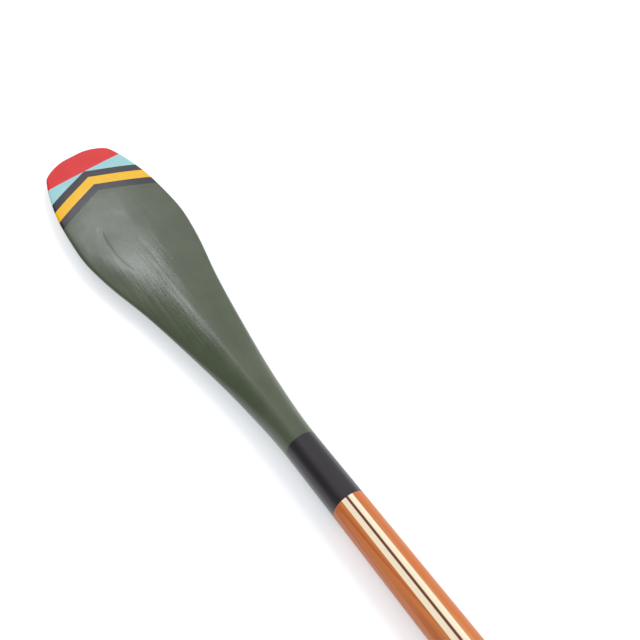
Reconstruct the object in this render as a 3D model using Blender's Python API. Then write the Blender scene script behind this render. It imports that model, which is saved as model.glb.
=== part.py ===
"""Laminated canoe paddle with a painted blade and a walnut palm grip.

The paddle lies flat along X with the blade tip at -X and the grip at +X, its width along Y, its
thickness along Z and its lowest point on z = 0. It is glued up from full length strips, blade planks
and grip layers, carved to one fair form, and the blade is sheathed in glass and epoxy that carries
the paint in bands. Every wooden piece is that one carved form cut by its planed glue faces, and every
band is the sheath cut along its masking lines.
"""

import math

import bmesh
import bpy
import numpy as np

# Driving dimensions, in metres
OVERALL_LENGTH = 1.420
BLADE_LENGTH = 0.569
BLADE_WIDTH = 0.132
BLADE_FLAT_THICKNESS = 0.0080
BLADE_EDGE_THICKNESS = 0.0050
SHAFT_WIDTH = 0.0320
SHAFT_DEPTH = 0.0355
GRIP_WIDTH = 0.0820
GRIP_DEPTH = 0.0385
NECK_DEPTH = 0.0185

# Distances from the blade tip
TIP_ROUND_LENGTH = 0.026
TIP_EDGE_LENGTH = 0.006
TIP_THINNED_LENGTH = 0.100
WIDEST_DISTANCE = 0.192
FLAT_LENGTH = 0.150
TONGUE_LENGTH = 0.330
FLAT_HALF_WIDTH = 0.030
OVAL_START = 0.280

# Distances from the grip end
CROWN_DISTANCE = 0.035
NECK_DISTANCE = 0.102
FLARE_LENGTH = 0.120
TAPER_LENGTH = 0.180

# Laminations, from the centre out
CENTRE_STRIP_WIDTH = 0.0022
CREAM_STRIP_WIDTH = 0.0045
PLANING_ALLOWANCE = 0.0004
GRIP_LAYER_WIDTH = 0.0036
GLUE_LINE = 0.0003

# Glass and epoxy sheath, and the paint bands it carries
SHEATH_THICKNESS = 0.0006
SHEATH_CLEARANCE = 0.0003
BAND_CLEARANCE = 0.0003
RED_TIP_LENGTH = 0.0470
DARK_CHEVRON_LENGTH = 0.0157
YELLOW_CHEVRON_LENGTH = 0.0199
LEFT_CHEVRON_SLOPE = 0.64
RIGHT_CHEVRON_SLOPE = 0.55
BLACK_BAND_LENGTH = 0.073

# Shape of the outline and sections
TIP_ROUNDNESS = 1.8
TIP_EDGE_ROUNDNESS = 2.0
GRIP_ROUNDNESS = 2.3
SHAFT_SQUARENESS = 2.2
GRIP_SQUARENESS = 2.5
CREST_SOFTNESS = 0.18
FLAT_SOFTNESS = 1.2
# fullness of the blade between shaft and full width: from the tip to the widest place, and from
# there to the throat
TIP_FULLNESS_RATIOS = ((0.0, 0.554), (0.32, 0.80), (0.636, 0.961), (1.0, 1.0))
THROAT_FULLNESS_RATIOS = ((0.0, 1.0), (0.168, 0.860), (0.358, 0.573), (0.574, 0.321),
                          (0.792, 0.110), (1.0, 0.0))
# rise of the centre ridge between the flat of the blade and the full depth of the shaft
RIDGE_RISE_RATIOS = ((0.0, 0.0), (0.25, 0.18), (0.50, 0.47), (0.75, 0.76), (1.0, 1.0))

# Fineness of the carved form
NOSE_FLAT = 0.0003
NOSE_SPACING = 0.0008
NOSE_STEP = 0.0001
NOSE_THICKNESS_RATIO = 1.2
RING_POINTS = 40
TIP_STATIONS = 8
SPOON_STATIONS = 6
THROAT_STATIONS = 16
SHAFT_STATIONS = 4
NECK_STATIONS = 16
CROWN_STATIONS = 8
END_CROWDING = 1.9
SHARP_ANGLE_DEG = 30

# Gloss of the finishes
VARNISH_ROUGHNESS = 0.35
PAINT_ROUGHNESS = 0.4

# Worked out from the dimensions above
BLADE_HALF = BLADE_WIDTH / 2
SHAFT_HALF = SHAFT_WIDTH / 2
AXIS_HEIGHT = max(GRIP_DEPTH, SHAFT_DEPTH) / 2
TIP_X = -OVERALL_LENGTH / 2
PAINT_LENGTH = BLADE_LENGTH + BLACK_BAND_LENGTH
SHEATH_RECESS = SHEATH_THICKNESS + SHEATH_CLEARANCE
RAIL_EDGE = SHAFT_HALF + PLANING_ALLOWANCE
CUTTER_REACH = max(BLADE_WIDTH, GRIP_WIDTH, SHAFT_DEPTH, GRIP_DEPTH)


def clear_scene():
    """Remove every object of the scene the script is run in."""
    for obj in list(bpy.data.objects):
        bpy.data.objects.remove(obj, do_unlink=True)


def ease(t):
    """Cosine ease from 0 to 1."""
    return 0.5 - 0.5 * math.cos(math.pi * min(max(t, 0.0), 1.0))


def round_off(t, power):
    """Quarter of a superellipse: 0 at t = 0, level with 1 at t = 1."""
    t = min(max(t, 0.0), 1.0)
    return (1.0 - (1.0 - t) ** power) ** (1.0 / power)


def fair_curve(points, t):
    """Smooth curve through a few points, with no overshoot between them."""
    xs, ys = np.array(points).T
    steps = np.diff(ys) / np.diff(xs)
    slopes = np.zeros(len(xs))
    for i in range(1, len(xs) - 1):
        before, after = steps[i - 1], steps[i]
        slopes[i] = 2 * before * after / (before + after) if before * after > 0 else 0.0
    t = min(max(t, xs[0]), xs[-1])
    i = min(int(np.searchsorted(xs, t, side="right")) - 1, len(xs) - 2)
    span = xs[i + 1] - xs[i]
    u = (t - xs[i]) / span
    return float((1 + 2 * u) * (1 - u) ** 2 * ys[i] + u * (1 - u) ** 2 * span * slopes[i]
                 + u * u * (3 - 2 * u) * ys[i + 1] + u * u * (u - 1) * span * slopes[i + 1])


def half_width(s):
    """Half the width of the paddle at distance s from the blade tip."""
    to_end = OVERALL_LENGTH - s
    if s < BLADE_LENGTH:
        if s < WIDEST_DISTANCE:
            fullness = fair_curve(TIP_FULLNESS_RATIOS, s / WIDEST_DISTANCE)
        else:
            along = (s - WIDEST_DISTANCE) / (BLADE_LENGTH - WIDEST_DISTANCE)
            fullness = fair_curve(THROAT_FULLNESS_RATIOS, along)
        width = SHAFT_HALF + (BLADE_HALF - SHAFT_HALF) * fullness
        return width * round_off(s / TIP_ROUND_LENGTH, TIP_ROUNDNESS)
    if to_end < CROWN_DISTANCE:
        return GRIP_WIDTH / 2 * round_off(to_end / CROWN_DISTANCE, GRIP_ROUNDNESS)
    flare = 1.0 - ease((to_end - CROWN_DISTANCE) / (FLARE_LENGTH - CROWN_DISTANCE))
    return SHAFT_HALF + (GRIP_WIDTH / 2 - SHAFT_HALF) * flare


def half_depth(s):
    """Half the thickness of the paddle on its centre line at distance s from the blade tip."""
    to_end = OVERALL_LENGTH - s
    edge, flat = BLADE_EDGE_THICKNESS / 2, BLADE_FLAT_THICKNESS / 2
    if s < BLADE_LENGTH:
        rise = fair_curve(RIDGE_RISE_RATIOS, (s - FLAT_LENGTH) / (BLADE_LENGTH - FLAT_LENGTH))
        thinned = edge + (flat - edge) * ease(s / TIP_THINNED_LENGTH)
        nose = round_off(s / TIP_EDGE_LENGTH, TIP_EDGE_ROUNDNESS)
        return (thinned + (SHAFT_DEPTH / 2 - flat) * rise) * nose
    if to_end < CROWN_DISTANCE:
        return GRIP_DEPTH / 2 * round_off(to_end / CROWN_DISTANCE, GRIP_ROUNDNESS)
    if to_end < NECK_DISTANCE:
        share = ease((NECK_DISTANCE - to_end) / (NECK_DISTANCE - CROWN_DISTANCE))
        return (NECK_DEPTH + (GRIP_DEPTH - NECK_DEPTH) * share) / 2
    share = ease((to_end - NECK_DISTANCE) / (TAPER_LENGTH - NECK_DISTANCE))
    return (NECK_DEPTH + (SHAFT_DEPTH - NECK_DEPTH) * share) / 2


def blade_section(s, y, width, depth, edge):
    """Half thickness of the blade at y: a flat that narrows to a soft ridge, and a full round edge."""
    flat = FLAT_HALF_WIDTH * (1.0 - ease((s - FLAT_LENGTH) / (TONGUE_LENGTH - FLAT_LENGTH)))
    flat = min(flat, width / 2)
    t = max(0.0, y - flat) / (width - flat)
    toward_throat = ease((s - FLAT_LENGTH) / (BLADE_LENGTH - FLAT_LENGTH))
    soft = FLAT_SOFTNESS + (CREST_SOFTNESS - FLAT_SOFTNESS) * toward_throat
    crest = (math.hypot(1, soft) - math.hypot(t, soft)) / (math.hypot(1, soft) - soft)
    rounding = min(edge, depth)
    past_round = max(0.0, y - (width - rounding)) / rounding
    rim = math.sqrt(max(0.0, 1.0 - past_round ** 2))
    return rounding * rim + (depth - rounding) * crest


def nose_distance(inset):
    """Where a surface inset from the carved one can start, because the tip is thick enough for it."""
    s = inset
    while half_depth(s - inset) < NOSE_THICKNESS_RATIO * inset:
        s += NOSE_STEP
    return s


def ring(s, inset):
    """Points of the section at distance s from the tip, inset evenly from the carved surface."""
    moved = s - inset * (1.0 - ease(s / TIP_ROUND_LENGTH))
    moved = min(max(moved, NOSE_FLAT), OVERALL_LENGTH - NOSE_FLAT)
    width = half_width(moved) - inset
    depth = half_depth(moved) - inset
    edge = (BLADE_EDGE_THICKNESS / 2 - inset) * round_off(moved / TIP_EDGE_LENGTH, TIP_EDGE_ROUNDNESS)
    oval = ease((s - OVAL_START) / (BLADE_LENGTH - OVAL_START))
    toward_grip = 1.0 - ease((OVERALL_LENGTH - s) / TAPER_LENGTH)
    power = SHAFT_SQUARENESS + (GRIP_SQUARENESS - SHAFT_SQUARENESS) * toward_grip
    points = []
    for k in range(RING_POINTS):
        angle = 2 * math.pi * k / RING_POINTS
        cosine, sine = math.cos(angle), math.sin(angle)
        across = abs(cosine)
        share = (1.0 - across ** power) ** (1.0 / power)
        height = oval * depth * share
        if oval < 1:
            height += (1 - oval) * blade_section(moved, across * width, width, depth, edge)
        points.append((TIP_X + s, math.copysign(across * width, cosine), math.copysign(height, sine)))
    return points


def spread(first, last, count, crowding=1.0):
    """Distances from first up to last, closer together near the first where crowding is above 1."""
    return [first + (last - first) * (i / count) ** crowding for i in range(count)]


def carved_stations():
    """Distances from the tip of every section of the paddle, closest where it is rounded."""
    neck_start = OVERALL_LENGTH - TAPER_LENGTH
    crown_start = OVERALL_LENGTH - CROWN_DISTANCE
    crown = spread(0.0, CROWN_DISTANCE, CROWN_STATIONS, END_CROWDING)
    return (spread(0.0, TIP_ROUND_LENGTH, TIP_STATIONS, END_CROWDING)
            + spread(TIP_ROUND_LENGTH, WIDEST_DISTANCE, SPOON_STATIONS)
            + spread(WIDEST_DISTANCE, BLADE_LENGTH, THROAT_STATIONS)
            + spread(BLADE_LENGTH, neck_start, SHAFT_STATIONS)
            + spread(neck_start, crown_start, NECK_STATIONS)
            + [crown_start] + [OVERALL_LENGTH - d for d in reversed(crown)])


def add_ring(bm, s, inset):
    """Add one section to the mesh, raised to the height of the paddle's axis."""
    return [bm.verts.new((x, y, z + AXIS_HEIGHT)) for x, y, z in ring(s, inset)]


def skin(bm, lower, upper):
    """Join two neighbouring sections with a band of quads."""
    for k in range(RING_POINTS):
        after = (k + 1) % RING_POINTS
        bm.faces.new((lower[k], lower[after], upper[after], upper[k]))


def finish_mesh(bm, name):
    """Turn the faces outwards, shade the carved surface smooth and return the mesh."""
    bmesh.ops.recalc_face_normals(bm, faces=bm.faces)
    mesh = bpy.data.meshes.new(name)
    bm.to_mesh(mesh)
    bm.free()
    mesh.shade_smooth()
    mesh.set_sharp_from_angle(angle=math.radians(SHARP_ANGLE_DEG))
    return mesh


def wood_form():
    """The whole carved paddle in wood, let in under the sheath from the tip to the band's end."""
    bm = bmesh.new()
    step = PAINT_LENGTH
    under = [s for s in carved_stations() if s < step - SHEATH_RECESS]
    beyond = [s for s in carved_stations() if s > step + SHEATH_RECESS]
    nose = nose_distance(SHEATH_RECESS)
    first = [nose] + [s for s in under if s > nose + NOSE_SPACING]
    rings = [add_ring(bm, s, SHEATH_RECESS) for s in first + [step]]
    rings += [add_ring(bm, s, 0.0) for s in [step] + beyond]
    for lower, upper in zip(rings, rings[1:]):
        skin(bm, lower, upper)
    bm.faces.new(rings[0])
    bm.faces.new(rings[-1])
    return finish_mesh(bm, "carved_form")


def sheath_form():
    """The sheath from the tip to the end of the black band: a thin closed shell, open at that end."""
    bm = bmesh.new()
    stop = PAINT_LENGTH - SHEATH_CLEARANCE
    outer_stations = [s for s in carved_stations() if s < stop - SHEATH_CLEARANCE] + [stop]
    nose = nose_distance(SHEATH_THICKNESS)
    inner_stations = [nose] + [s for s in outer_stations if s > nose + NOSE_SPACING]
    outer = [add_ring(bm, s, 0.0) for s in outer_stations]
    inner = [add_ring(bm, s, SHEATH_THICKNESS) for s in inner_stations]
    for layer in (outer, inner):
        for lower, upper in zip(layer, layer[1:]):
            skin(bm, lower, upper)
        bm.faces.new(layer[0])
    skin(bm, outer[-1], inner[-1])
    return finish_mesh(bm, "sheath_form")


def material(name, color, roughness):
    """A plain Principled material."""
    mat = bpy.data.materials.new(name)
    mat.use_nodes = True
    shader = mat.node_tree.nodes["Principled BSDF"]
    shader.inputs["Base Color"].default_value = (*color, 1.0)
    shader.inputs["Roughness"].default_value = roughness
    return mat


def cutter(name, outline):
    """A hidden upright block over an outline in the plane of the blade."""
    bm = bmesh.new()
    low = [bm.verts.new((x, y, AXIS_HEIGHT - CUTTER_REACH)) for x, y in outline]
    face = bm.faces.new(low)
    raised = bmesh.ops.extrude_face_region(bm, geom=[face])["geom"]
    verts = [v for v in raised if isinstance(v, bmesh.types.BMVert)]
    bmesh.ops.translate(bm, vec=(0, 0, 2 * CUTTER_REACH), verts=verts)
    bmesh.ops.recalc_face_normals(bm, faces=bm.faces)
    mesh = bpy.data.meshes.new(name)
    bm.to_mesh(mesh)
    bm.free()
    block = bpy.data.objects.new(name, mesh)
    block.hide_render = True
    block.display_type = "WIRE"
    bpy.context.scene.collection.objects.link(block)
    return block


def cut_piece(name, form, outline, mat):
    """One piece of the paddle: the part of a form that stands over an outline."""
    piece = bpy.data.objects.new(name, form.copy())
    piece.data.materials.append(mat)
    bpy.context.scene.collection.objects.link(piece)
    cut = piece.modifiers.new("glue faces", "BOOLEAN")
    cut.operation = "INTERSECT"
    cut.solver = "EXACT"
    cut.object = cutter(name + "_cutter", outline)
    return piece


def strip_outline(near, far, start, stop):
    """A straight strip between two distances from the centre line, less half a glue line each side."""
    inset = math.copysign(GLUE_LINE / 2, far - near)
    low, high = near + inset, far - inset
    return [(start, low), (stop, low), (stop, high), (start, high)]


def full_length_strips(form, walnut, cream, cedar):
    """Walnut centre strip, then a basswood strip and a cedar rail on each side, tip to grip end."""
    start, stop = TIP_X - CUTTER_REACH, -TIP_X + CUTTER_REACH
    centre = CENTRE_STRIP_WIDTH / 2
    cream_edge = centre + CREAM_STRIP_WIDTH
    cut_piece("centre_strip", form, strip_outline(-centre, centre, start, stop), walnut)
    for side, hand in (("left", 1), ("right", -1)):
        outline = strip_outline(hand * centre, hand * cream_edge, start, stop)
        cut_piece(f"cream_strip_{side}", form, outline, cream)
        outline = strip_outline(hand * cream_edge, hand * RAIL_EDGE, start, stop)
        cut_piece(f"shaft_rail_{side}", form, outline, cedar)


def blade_planks(form, cream, cedar):
    """Three planks on each side of the rails, which give the blade its width."""
    start = TIP_X - CUTTER_REACH
    planks = (("inner", cedar), ("middle", cream), ("outer", cedar))
    width = (BLADE_HALF - RAIL_EDGE) / len(planks)
    for side, hand in (("left", 1), ("right", -1)):
        near = RAIL_EDGE
        for place, mat in planks:
            far = CUTTER_REACH if place == "outer" else near + width
            outline = strip_outline(hand * near, hand * far, start, 0.0)
            cut_piece(f"blade_plank_{place}_{side}", form, outline, mat)
            near = far


def grip_layers(form, cream, walnut):
    """A basswood layer and a walnut palm cheek on each side of the grip."""
    stop = -TIP_X + CUTTER_REACH
    layer_edge = RAIL_EDGE + GRIP_LAYER_WIDTH
    for side, hand in (("left", 1), ("right", -1)):
        outline = strip_outline(hand * RAIL_EDGE, hand * layer_edge, 0.0, stop)
        cut_piece(f"grip_layer_{side}", form, outline, cream)
        outline = strip_outline(hand * layer_edge, hand * CUTTER_REACH, 0.0, stop)
        cut_piece(f"grip_cheek_{side}", form, outline, walnut)


def across_outline(start, stop):
    """A band square across the paddle."""
    return [(start, -CUTTER_REACH), (stop, -CUTTER_REACH), (stop, CUTTER_REACH), (start, CUTTER_REACH)]


def chevron_slope(hand):
    """How fast a chevron's arm runs back towards the shaft, masked by hand and so not alike on both sides."""
    return LEFT_CHEVRON_SLOPE if hand > 0 else RIGHT_CHEVRON_SLOPE


def chevron_line(distance, hand):
    """Three points of a chevron's edge, from the right side over the centre line to the left one."""
    apex = TIP_X + distance
    near, far = [(apex + CUTTER_REACH * chevron_slope(turn), turn * CUTTER_REACH) for turn in (-hand, hand)]
    return [near, (apex, 0.0), far]


def chevron_outline(start, length):
    """The band between two chevron edges, less half a clearance on each."""
    half_gap = BAND_CLEARANCE / 2 * math.hypot(1, LEFT_CHEVRON_SLOPE)
    return chevron_line(start + half_gap, 1) + chevron_line(start + length - half_gap, -1)


def paint_bands(form, paints):
    """The painted sheath in its bands: red tip, teal corners, three chevrons, green field, black band."""
    half_gap = BAND_CLEARANCE / 2
    slant_gap = half_gap * math.hypot(1, LEFT_CHEVRON_SLOPE)
    far = CUTTER_REACH
    red_end = TIP_X + RED_TIP_LENGTH
    cut_piece("paint_red_tip", form, across_outline(TIP_X - far, red_end - half_gap), paints["red"])

    teal_start = red_end + half_gap
    for side, hand in (("left", 1), ("right", -1)):
        teal_root = (half_gap + slant_gap) / chevron_slope(hand)
        teal_reach = (far - teal_root) * chevron_slope(hand)
        corner = [(teal_start, hand * teal_root), (teal_start + teal_reach, hand * far),
                  (teal_start, hand * far)]
        cut_piece(f"paint_teal_{side}", form, corner, paints["teal"])

    start = RED_TIP_LENGTH
    for name, length, paint in (("paint_dark_chevron_outer", DARK_CHEVRON_LENGTH, "dark"),
                                ("paint_yellow_chevron", YELLOW_CHEVRON_LENGTH, "yellow"),
                                ("paint_dark_chevron_inner", DARK_CHEVRON_LENGTH, "dark")):
        cut_piece(name, form, chevron_outline(start, length), paints[paint])
        start += length

    band_start = TIP_X + BLADE_LENGTH
    green = chevron_line(start + slant_gap, 1)
    green += [(band_start - half_gap, far), (band_start - half_gap, -far)]
    cut_piece("paint_green_field", form, green, paints["green"])
    black = across_outline(band_start + half_gap, band_start + BLACK_BAND_LENGTH + far)
    cut_piece("paint_black_band", form, black, paints["black"])


def build():
    """Model the whole paddle."""
    clear_scene()
    walnut = material("walnut", (0.16, 0.08, 0.055), VARNISH_ROUGHNESS)
    cream = material("basswood", (0.86, 0.72, 0.48), VARNISH_ROUGHNESS)
    cedar = material("red_cedar", (0.56, 0.26, 0.10), VARNISH_ROUGHNESS)
    paints = {
        "red": material("red_paint", (0.78, 0.07, 0.08), PAINT_ROUGHNESS),
        "teal": material("teal_paint", (0.43, 0.76, 0.76), PAINT_ROUGHNESS),
        "dark": material("dark_paint", (0.09, 0.09, 0.11), PAINT_ROUGHNESS),
        "yellow": material("yellow_paint", (1.0, 0.55, 0.04), PAINT_ROUGHNESS),
        "green": material("green_paint", (0.13, 0.16, 0.11), PAINT_ROUGHNESS),
        "black": material("black_paint", (0.04, 0.04, 0.05), PAINT_ROUGHNESS),
    }
    wood = wood_form()
    full_length_strips(wood, walnut, cream, cedar)
    blade_planks(wood, cream, cedar)
    grip_layers(wood, cream, walnut)
    paint_bands(sheath_form(), paints)


build()
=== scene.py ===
"""Canoe paddle with a painted blade, a striped cedar shaft and a walnut palm grip, lying on a pale floor.

The outside of the whole paddle is one carved blank. It starts as a ring at the end of the black band,
is drawn out section by section to the blade tip and to the grip, and is then smoothed. The painted bands
are thin shells cut from that surface along their masking lines. The wood under them is let in a little
deeper than the sheath is thick, and cut into strips, layers and cheeks along its glue faces.
"""

import math

import bmesh
import bpy
from mathutils import Matrix, Quaternion, Vector


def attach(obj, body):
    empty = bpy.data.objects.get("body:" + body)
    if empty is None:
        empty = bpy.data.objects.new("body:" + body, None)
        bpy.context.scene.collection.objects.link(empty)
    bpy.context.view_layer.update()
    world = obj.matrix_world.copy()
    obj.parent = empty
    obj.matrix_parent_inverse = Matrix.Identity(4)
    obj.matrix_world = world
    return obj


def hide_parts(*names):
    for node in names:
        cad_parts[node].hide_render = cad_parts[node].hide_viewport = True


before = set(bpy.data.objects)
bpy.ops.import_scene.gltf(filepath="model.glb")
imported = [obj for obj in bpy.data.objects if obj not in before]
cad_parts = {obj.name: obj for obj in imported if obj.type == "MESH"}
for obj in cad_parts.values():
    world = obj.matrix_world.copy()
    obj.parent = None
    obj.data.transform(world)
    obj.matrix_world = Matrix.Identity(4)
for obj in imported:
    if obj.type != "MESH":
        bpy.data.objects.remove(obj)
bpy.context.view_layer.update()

# Lengths in metres, as the paddle is built
OVERALL_LENGTH = 1.420
BLADE_LENGTH = 0.569
BLADE_WIDTH = 0.132
BLADE_FLAT_THICKNESS = 0.0080
BLADE_EDGE_THICKNESS = 0.0050
SHAFT_WIDTH = 0.0320
SHAFT_DEPTH = 0.0355
GRIP_WIDTH = 0.0820
GRIP_DEPTH = 0.0385
NECK_DEPTH = 0.0185

# Distances from the blade tip
TIP_ROUND_LENGTH = 0.026
TIP_EDGE_LENGTH = 0.006
TIP_THINNED_LENGTH = 0.100
WIDEST_DISTANCE = 0.192
FLAT_LENGTH = 0.150
TONGUE_LENGTH = 0.330
FLAT_HALF_WIDTH = 0.030
OVAL_START = 0.280

# Distances from the grip end
CROWN_DISTANCE = 0.035
NECK_DISTANCE = 0.102
FLARE_LENGTH = 0.120
TAPER_LENGTH = 0.180

# Laminations, from the centre out
CENTRE_STRIP_WIDTH = 0.0022
CREAM_STRIP_WIDTH = 0.0045
PLANING_ALLOWANCE = 0.0004
GRIP_LAYER_WIDTH = 0.0036

# Sheath over the blade, and how deep the wood is let in under it
SHEATH_THICKNESS = 0.0006
SHEATH_RECESS = 0.0009
NOSE_CUT = 0.0014

# Paint, from the tip to the shaft
RED_TIP_LENGTH = 0.0470
DARK_CHEVRON_LENGTH = 0.0157
YELLOW_CHEVRON_LENGTH = 0.0199
LEFT_CHEVRON_SLOPE = 0.64
RIGHT_CHEVRON_SLOPE = 0.55
BLACK_BAND_LENGTH = 0.073

# Fairness of the outline and the sections
TIP_ROUNDNESS = 1.8
GRIP_ROUNDNESS = 2.3
SHAFT_SQUARENESS = 2.2
GRIP_SQUARENESS = 2.5
CREST_SOFTNESS = 0.18
FLAT_SOFTNESS = 1.2
TIP_FULLNESS = ((0.0, 0.554), (0.32, 0.80), (0.636, 0.961), (1.0, 1.0))
THROAT_FULLNESS = ((0.0, 1.0), (0.168, 0.860), (0.358, 0.573), (0.574, 0.321), (0.792, 0.110), (1.0, 0.0))
RIDGE_RISE = ((0.0, 0.0), (0.25, 0.18), (0.50, 0.47), (0.75, 0.76), (1.0, 1.0))

# Sections of the carved blank, and the seam that closes it at the tip
SECTION_POINTS = 48
FIRST_SECTION = 0.0003
TIP_SECTIONS = 9
SPOON_SECTIONS = 8
THROAT_SECTIONS = 18
BAND_SECTIONS = 3
SHAFT_SECTIONS = 8
NECK_SECTIONS = 16
CROWN_SECTIONS = 9
END_CROWDING = 1.9
TIP_SEAM_SHARE = 0.96

# How the blank is smoothed and shaded, and how closely pieces are cut and joined
SMOOTHING = 2
SHARP_ANGLE = math.radians(30)
SAW_TOLERANCE = 0.00001
MERGE_DISTANCE = 0.000001

# Scales of noise, per metre along, across and through the paddle
RING_WANDER = (2.2, 16, 16)
WOOD_FIGURE = (2.0, 95, 95)
WOOD_FIBRES = (14, 1100, 1100)
PAINT_DRIFT = (26, 34, 34)
BRUSH_STREAKS = (9, 420, 200)
SANDING_RIPPLES = (3.2, 150, 40)
SANDING_MARKS = (8, 1000, 500)
DENTS = (15, 46, 46)
SWELLS = (14, 24, 24)

# Parts of a noise that show: nothing below the first value, all of it above the second
FIGURE_SHOWS = (0.35, 0.70)
FIBRES_SHOW = (0.42, 0.75)
DRIFT_SHOWS = (0.35, 0.65)
STREAKS_SHOW = (0.45, 0.75)
GLOSS_VARIES = (0.30, 0.70)

# Colours of early and late wood, and of the glue between them
RED_CEDAR = ((222, 134, 74), (184, 92, 42))
GOLDEN_CEDAR = ((240, 186, 122), (214, 150, 92))
BASSWOOD = ((255, 244, 222), (246, 226, 190))
WALNUT = ((128, 88, 72), (72, 44, 38))
HEARTWOOD = ((132, 80, 56), (98, 54, 38))
GLUE_BROWN = (110, 66, 38)

# Shares of a growth ring over which early wood darkens, and from which late wood ends
EARLY_WOOD = (0.15, 0.85)
LATE_WOOD_END = 0.9

# How much fibres and glue lines show, in colour, gloss and relief
FIBRE_TINT = 0.35
GLUE_TINT = 0.35
GLUE_LINE_WIDTH = 0.00022
WOOD_ROUGHNESS = (0.36, 0.50)
FIBRE_DEPTH = 0.0001
FIBRE_BUMP = 0.25

# Where the heart of the tree lay
HEART_Y = 0.2
HEART_Z = -0.15

# Where red cedar turns golden, and how far figure and fibres carry each colour into the other, in X
GOLDEN_START = 0.1
GOLDEN_END = 0.3
FIGURE_REACH = 1.3
FIBRE_REACH = 0.3

# Paint colours, each with the shade that it drifts to, and how much of the shade shows
PAINTS = {
    "red": ((230, 22, 28), (214, 10, 16)),
    "teal": ((161, 217, 222), (151, 208, 213)),
    "dark": ((50, 48, 56), (42, 41, 48)),
    "yellow": ((252, 194, 8), (247, 186, 4)),
    "green": ((86, 95, 77), (76, 85, 67)),
    "black": ((49, 46, 50), (43, 40, 44)),
}
# Painted shade laid along the fold of the cloth in the green paint
FOLD_PAINTED_SHADE = (40, 46, 38)
SHADE_IN_DRIFT = 0.6
SHADE_IN_STREAKS = 0.3
# How much of that painted shade shows along the fold
PAINTED_SHADE_IN_FOLD = 0.3
PAINT_ROUGHNESS = (0.12, 0.17)
DULLED_ROUGHNESS = 0.07
PAINT_IOR = 1.45

# Heights of the painted surface, and how strongly its flat is crowned
WEAVE_PITCH = 0.0009
WEAVE_HEIGHT = 0.000004
RIPPLE_HEIGHT = 0.00013
MARK_HEIGHT = 0.0002
DENT_HEIGHT = 0.0002
SWELL_HEIGHT = 0.0004
CROWN_CURVE = 0.29
CROWN_SHARE_AT_TIP = 0.45
SCRAPED_RIPPLES = 1.9

# The sharper crest that hand sanding left on the ridge: its slope to each side and its half width
CREST_SLOPE = 0.030
CREST_HALF_WIDTH = 0.0028

# Stretches over which the surface changes, as distances from the blade tip
CROWN_GROWS = (0.10, 0.20)
RIPPLES_START = (0.17, 0.27)
SCRAPING_STARTS = (0.25, 0.31)
DULLING_STARTS = (0.26, 0.32)
MARKS_START = (0.26, 0.31)
MARKS_END = (0.40, 0.46)
CREST_STARTS = (0.31, 0.37)
CREST_ENDS = (0.40, 0.52)

# The fine sanding marks lie on the right-hand side of the ridge, up to these places in Y
MARKS_SIDE = (-0.010, 0.0)

# A fold of the cloth that shows through the green paint as a dent with painted shade along it, and the small
# loop at its tip end
CREASE_START = 0.171
CREASE_END = 0.272
CREASE_RUN_IN = 0.006
CREASE_RUN_OUT = 0.025
CREASE_MIDDLE = 0.2133
CREASE_OFFSET = 0.0320
CREASE_BOW = 2.13
CREASE_WIDTH = 0.0034
CREASE_DEPTH = 0.00009
CREASE_LOOP_LENGTH = 0.0140
CREASE_LOOP_WIDTH = 0.0042
CREASE_LOOP_SHARE = 0.5

# Floor: its size, its colour, and what lifts it to white for the camera and in gloss
FLOOR_SIZE = 14
FLOOR_COLOR = (0.82, 0.82, 0.83, 1)
FLOOR_LIFT = 0.44
FLOOR_LIFT_COLOR = (0.92, 0.96, 1.0, 1)

# Directions are an azimuth, turned from the tip's end towards the left hand, and an elevation, in degrees
WINDOW_AZIMUTH = 3.4
WINDOW_ELEVATION = 41.3

# Softboxes: azimuth, elevation, distance, size, radiance, colour, and roll towards the left hand in degrees
SOFTBOXES = {
    "window_beyond_tip": (WINDOW_AZIMUTH, WINDOW_ELEVATION, 3.0, (0.555, 0.49), 5.3, (0.97, 1.0, 1.08), 12),
    "key_from_left_hand": (104, 56, 2.6, (0.8, 0.8), 9.2, (1, 1, 1), 0),
}

# Walls: how bright they are towards the right and the left hand, and between which directions they change
WALL_RIGHT = 0.72
WALL_LEFT = 0.80
WALL_CHANGES = (-0.65, 0.45)

# Patches of the walls: azimuth, elevation, reach and core in degrees, and the light added. They are the
# glow round the window, the pale wall beside it and a dark corner of the room.
WALL_PATCHES = (
    (WINDOW_AZIMUTH - 4, WINDOW_ELEVATION + 5, 17, 8, 0.4),
    (17, 42, 19, 8, 0.32),
    (-36, 31, 36, 16, -0.7),
)

# The camera of the photograph, fitted to the shaft, the black band and the chevrons
CAMERA_LENS = 41.829
CAMERA_SENSOR = 36
CAMERA_RIGHT = Vector((0.55909628, 0.81480861, -0.1532915))
CAMERA_UP = Vector((-0.58478233, 0.51860835, 0.62375878))
CAMERA_BACK = Vector((0.58774224, -0.2590991, 0.76643768))
CAMERA_PLACE = (0.19377378, -0.10080327, 0.59870725)

# Places that follow from the lengths
SHAFT_HALF = SHAFT_WIDTH / 2
AXIS_HEIGHT = max(GRIP_DEPTH, SHAFT_DEPTH) / 2
TIP_X = -OVERALL_LENGTH / 2
PAINT_LENGTH = BLADE_LENGTH + BLACK_BAND_LENGTH
CENTRE_EDGE = CENTRE_STRIP_WIDTH / 2
CREAM_EDGE = CENTRE_EDGE + CREAM_STRIP_WIDTH
RAIL_EDGE = SHAFT_HALF + PLANING_ALLOWANCE
LAYER_EDGE = RAIL_EDGE + GRIP_LAYER_WIDTH


def deselect():
    """Nothing selected and nothing in edit mode."""
    if bpy.context.object and bpy.context.object.mode != "OBJECT":
        bpy.ops.object.mode_set(mode="OBJECT")
    bpy.ops.object.select_all(action="DESELECT")


def pick(obj):
    """Select one object alone and make it the active one."""
    deselect()
    obj.select_set(True)
    bpy.context.view_layer.objects.active = obj


def ease(t):
    """Cosine ease from 0 to 1."""
    return 0.5 - 0.5 * math.cos(math.pi * min(max(t, 0.0), 1.0))


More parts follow.
